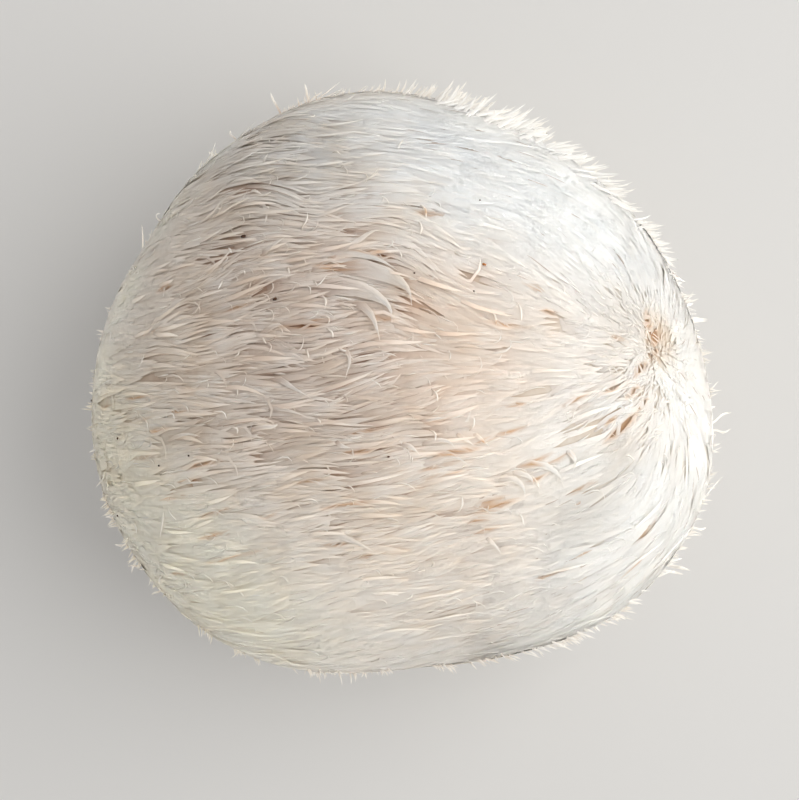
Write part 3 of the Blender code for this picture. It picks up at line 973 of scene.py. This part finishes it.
def spine_material():
    material, tree, shader = nodes_of("spines")
    place = add(tree, "ShaderNodeTexCoord").outputs["Object"]
    # spines darken towards their root: partly their own tan, partly painted warm shade in the gaps between
    # them
    under = (*linear(222, 201, 187), 1)
    colour = mix(tree, "MULTIPLY", read(tree, "under", "Fac"), read(tree, "tint_and_painted_light", "Color"), under)
    colour = mix(tree, "MIX", read(tree, "pale", "Fac"), colour, (*linear(252, 248, 241), 1))
    # painted shadow lines along one side of spines, and short painted shadow dashes
    shadow_line_colour = ramp(tree, read(tree, "line", "Fac"), ((0.42, WHITE), (0.70, linear(206, 190, 180))))
    colour = mix(tree, "MULTIPLY", 1.0, colour, shadow_line_colour)
    shade = ramp(tree, read(tree, "tone", "Fac"), ((0.0, linear(236, 231, 226)), (0.55, WHITE)))
    colour = mix(tree, "MULTIPLY", 1.0, colour, shade)
    spots = ramp(tree, noise(tree, place, 90, 3), ((0.35, linear(246, 239, 231)), (0.62, WHITE)))
    colour = mix(tree, "MULTIPLY", read(tree, "spotty", "Fac"), colour, spots)
    # tan and painted shade in and beside the partings
    colour = mix(tree, "MULTIPLY", read(tree, "tan_and_painted_shade", "Fac"), colour, (*linear(224, 184, 140), 1))
    tree.links.new(colour, shader.inputs["Base Color"])
    shader.inputs["Roughness"].default_value = 0.55
    shader.inputs["Specular IOR Level"].default_value = 0.3
    soften(shader, 0.8, 0.0005)
    roughen(tree, shader, noise(tree, place, 1400, 2), 0.06, 0.0001)
    return material


def flesh_material():
    material, tree, shader = nodes_of("flesh")
    place = add(tree, "ShaderNodeTexCoord").outputs["Object"]
    streak = noise(tree, place, 420, 4)
    grain = ramp(tree, streak, ((0.3, linear(243, 236, 227)), (0.7, linear(251, 248, 243))))
    colour = mix(tree, "MULTIPLY", 1.0, read(tree, "tint_and_painted_light", "Color"), grain)
    # tan and painted shade where the spines part
    colour = mix(tree, "MULTIPLY", read(tree, "tan_and_painted_shade", "Fac"), colour, (*linear(214, 168, 116), 1))
    tree.links.new(colour, shader.inputs["Base Color"])
    shader.inputs["Roughness"].default_value = 0.65
    soften(shader, 0.8, 0.0013)
    roughen(tree, shader, streak, 0.4, 0.0003)
    return material


def cut_material():
    """The flesh where it was cut off the wood: cream, fibrous, with small pits."""
    material, tree, shader = nodes_of("cut")
    place = add(tree, "ShaderNodeTexCoord").outputs["Object"]
    fibres = noise(tree, place, 300, 5)
    colour = ramp(tree, fibres, ((0.35, linear(214, 192, 160)), (0.60, linear(243, 234, 216))))
    patches = ramp(tree, noise(tree, place, 40, 3), ((0.35, linear(228, 206, 176)), (0.62, WHITE)))
    tree.links.new(mix(tree, "MULTIPLY", 0.8, colour, patches), shader.inputs["Base Color"])
    shader.inputs["Roughness"].default_value = 0.75
    roughen(tree, shader, fibres, 0.6, 0.0008)
    return material


def speck_material():
    material, tree, shader = nodes_of("specks")
    place = add(tree, "ShaderNodeTexCoord").outputs["Object"]
    grain = noise(tree, place, 900, 3)
    dark = ramp(tree, grain, ((0.35, linear(44, 32, 26)), (0.7, linear(112, 76, 52))))
    rusty = ramp(tree, grain, ((0.35, linear(170, 98, 48)), (0.7, linear(212, 146, 84))))
    colour = mix(tree, "MIX", read(tree, "rusty", "Fac"), dark, rusty)
    tree.links.new(colour, shader.inputs["Base Color"])
    shader.inputs["Roughness"].default_value = 0.7
    roughen(tree, shader, grain, 0.5, 0.0002)
    return material


# The pieces


FLESH_DETAIL = 6  # subdivisions of the icosphere that it starts as
CREASE = math.radians(40)  # faces that meet more sharply than this keep their edge
TAN_AND_SHADE_FLESH, TAN_AND_SHADE_SPINES = 2.2, 0.9  # how far a parting's tan and painted shade reach across it, in its half widths
CALM_CLEANER = 0.85  # how much less spines show of their darker roots, partly painted shade, and of the soft spots, where they lie calm
SPOTTY = 0.8  # how much they show of the soft spots where they don't lie calm


def make_flesh():
    """The body under the spines, flat where it was cut off."""
    shape = bmesh.new()
    bmesh.ops.create_icosphere(shape, subdivisions=FLESH_DETAIL, radius=1)
    ball = unit(np.array([vert.co[:] for vert in shape.verts]))
    point, outward = surface(ball)
    depth = FLESH_DEPTH + (FLESH_DEPTH_CALM - FLESH_DEPTH) * calm(point)
    for vert, co in zip(shape.verts, point - outward * depth[:, None]):
        vert.co = co
    everything = list(shape.verts) + list(shape.edges) + list(shape.faces)
    cut = bmesh.ops.bisect_plane(
        shape, geom=everything, plane_co=(0, 0, 0), plane_no=(0, 0, -1), clear_outer=True
    )
    rim = [edge for edge in cut["geom_cut"] if isinstance(edge, bmesh.types.BMEdge)]
    bmesh.ops.contextual_create(shape, geom=rim)
    bmesh.ops.recalc_face_normals(shape, faces=shape.faces)
    mesh = smooth_mesh("flesh", shape)
    mesh.set_sharp_from_angle(angle=CREASE)
    places = np.array([vert.co[:] for vert in mesh.vertices])
    # the flesh between spines that lie less calm is darkened with a painted warm shade
    shelter = 1 - calm(places)[:, None]
    left = 1 - smooth(places[:, :1], *HOLLOW_FROM_LEFT)
    hollow_shade = HOLLOW_SHADE + (HOLLOW_SHADE_LEFT - HOLLOW_SHADE) * left
    # the body's colour, with its painted highlights and shade
    put(mesh, "tint_and_painted_light", tint_and_painted_light(places) * (1 + (hollow_shade - 1) * shelter))
    # tan and painted shade where the spines part
    put(mesh, "tan_and_painted_shade", Partings().tan_and_painted_shade(places, TAN_AND_SHADE_FLESH))
    mesh.materials.append(flesh_material())
    mesh.materials.append(cut_material())
    for face in mesh.polygons:
        on_cut = face.normal.z < -0.999 and face.center.z < 1e-5
        face.material_index = int(on_cut)
    return link(mesh, "flesh")


# Bits of dirt and dark spots on the spines: (u, v, half its size in pixels); the last one is rusty
SPECKS = (
    (244, 237, 1.9), (275, 299, 1.6), (414, 272, 0.9), (473, 291, 0.9), (479, 201, 0.9), (388, 456, 1.1),
    (189, 455, 0.9), (159, 465, 1.0), (90, 400, 1.3), (117, 438, 1.2), (115, 516, 1.2), (483, 265, 1.5),
)
SPECK_LIFT = 0.0004
SPECK_SHAPE = ((1.0, 1.5), (0.7, 1.0), 0.55)  # along the lie, across it and outward, in its size
SPECK_ROUGH = (0.8, 1.15)  # times that, for each of its corners


def make_specks():
    """Flat, uneven crumbs that sit on the spines."""
    rng = np.random.default_rng(SEED)
    shape = bmesh.new()
    for u, v, size in SPECKS:
        made = bmesh.ops.create_icosphere(shape, subdivisions=2, radius=1)["verts"]
        point, outward, way, across = lie_at(seen_at(u, v))
        long, wide, high = SPECK_SHAPE
        scale = size * PIXEL_AT_OUTLINE * np.array((rng.uniform(*long), rng.uniform(*wide), high))
        for vert in made:
            x, y, z = np.array(vert.co[:]) * scale * rng.uniform(*SPECK_ROUGH)
            vert.co = point + outward * (SPECK_LIFT + z) + way * x + across * y
    mesh = smooth_mesh("specks", shape)
    put(mesh, "rusty", np.repeat(np.arange(len(SPECKS)) == len(SPECKS) - 1, len(made)) * 1.0)
    mesh.materials.append(speck_material())
    return link(mesh, "specks")


def make_spines():
    rng = np.random.default_rng(SEED)
    partings = Partings()
    kinds = [spine_lines(kind, rng, partings) for kind in (LOCK, HAIR, TUFT, FRINGE)]
    kinds.append(single_locks(rng))
    material = spine_material()
    made = []
    for number, name in enumerate(PIECES):
        tube = joined([tubes(spines, np.flatnonzero(spines["set"] == number)) for spines in kinds])
        mesh = mesh_of(name, tube["verts"], tube["quads"], tube["tris"])
        keep_side_edges(mesh, tube["corner"])
        shelter = 1 - CALM_CLEANER * calm(tube["verts"])
        along, pale = tube["along"], tube["pale"]
        # darker towards the root, partly tan and partly painted shade, less where they lie calm
        put(mesh, "under", (1 - smooth(along, 0.0, 0.65)) * shelter)
        put(mesh, "tone", tube["tone"])
        # the paler a tip is, the further down it is pale
        put(mesh, "pale", pale * smooth(along, 0.75 - 0.55 * pale, 1 - 0.15 * pale))
        # painted shadow lines along one side of each spine, and short dashes of painted shadow where they
        # lie calm
        shadow_lined = tube["lined"] * (1 - smooth(along, 0.8, 1.0))
        dashed = tube["dashed"] * smooth(along, 0.55, 0.64) * (1 - smooth(along, 0.8, 0.9))
        put(mesh, "line", tube["edge"] * np.maximum(shadow_lined, dashed))
        put(mesh, "spotty", SPOTTY * shelter)
        # the body's colour, with its painted highlights and shade
        put(mesh, "tint_and_painted_light", tint_and_painted_light(tube["verts"]))
        # tan and painted shade in and beside the partings
        put(mesh, "tan_and_painted_shade", partings.tan_and_painted_shade(tube["verts"], TAN_AND_SHADE_SPINES))
        spine_uv(mesh, tube)
        mesh.materials.append(material)
        made.append(link(mesh, name))
    return made


# The studio


def make_floor(half=3):
    mesh = bpy.data.meshes.new("floor")
    corners = [(-half, -half, 0), (half, -half, 0), (half, half, 0), (-half, half, 0)]
    mesh.from_pydata(corners, [], [(0, 1, 2, 3)])
    floor = link(mesh, "floor")
    material, _, shader = nodes_of("floor")
    shader.inputs["Base Color"].default_value = (0.80, 0.79, 0.77, 1)
    shader.inputs["Roughness"].default_value = 0.9
    mesh.materials.append(material)


def area_light(name, place, size, power, colour):
    light = bpy.data.lights.new(name, "AREA")
    light.shape = "DISK"
    light.size = size
    light.energy = power
    light.color = colour
    obj = link(light, name)
    obj.location = place
    toward = Vector((0, 0, MIDDLE_HEIGHT)) - Vector(place)
    obj.rotation_euler = toward.to_track_quat("-Z", "Y").to_euler()


def make_studio():
    world = bpy.data.worlds.new("studio")
    world.use_nodes = True
    background = world.node_tree.nodes["Background"]
    background.inputs["Color"].default_value = (0.985, 0.98, 0.98, 1)
    background.inputs["Strength"].default_value = 0.525
    bpy.context.scene.world = world
    area_light("window", place=(1.00, 0.15, 0.90), size=1.8, power=13.6, colour=(1.0, 0.99, 0.97))
    bpy.context.scene.view_settings.view_transform = "Standard"


def make_camera():
    data = bpy.data.cameras.new("camera")
    data.sensor_fit = "HORIZONTAL"
    data.sensor_width = 36
    away = CAMERA_AT[2] - OUTLINE_HEIGHT
    data.lens = data.sensor_width * away / (PIXEL_AT_OUTLINE * PICTURE[0])
    data.clip_start = 0.01
    camera = link(data, "camera")
    camera.location = CAMERA_AT
    bpy.context.scene.camera = camera


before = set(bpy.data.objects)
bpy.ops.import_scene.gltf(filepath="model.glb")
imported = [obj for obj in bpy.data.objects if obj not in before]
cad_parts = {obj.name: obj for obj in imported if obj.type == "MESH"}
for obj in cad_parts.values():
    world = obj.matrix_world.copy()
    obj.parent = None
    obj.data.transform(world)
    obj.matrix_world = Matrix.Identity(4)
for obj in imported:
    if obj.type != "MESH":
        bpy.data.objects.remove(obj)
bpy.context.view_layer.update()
for piece in [make_flesh(), *make_spines(), make_specks()]:
    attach(piece, "root")
    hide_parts(NODE)
make_floor()
make_studio()
make_camera()
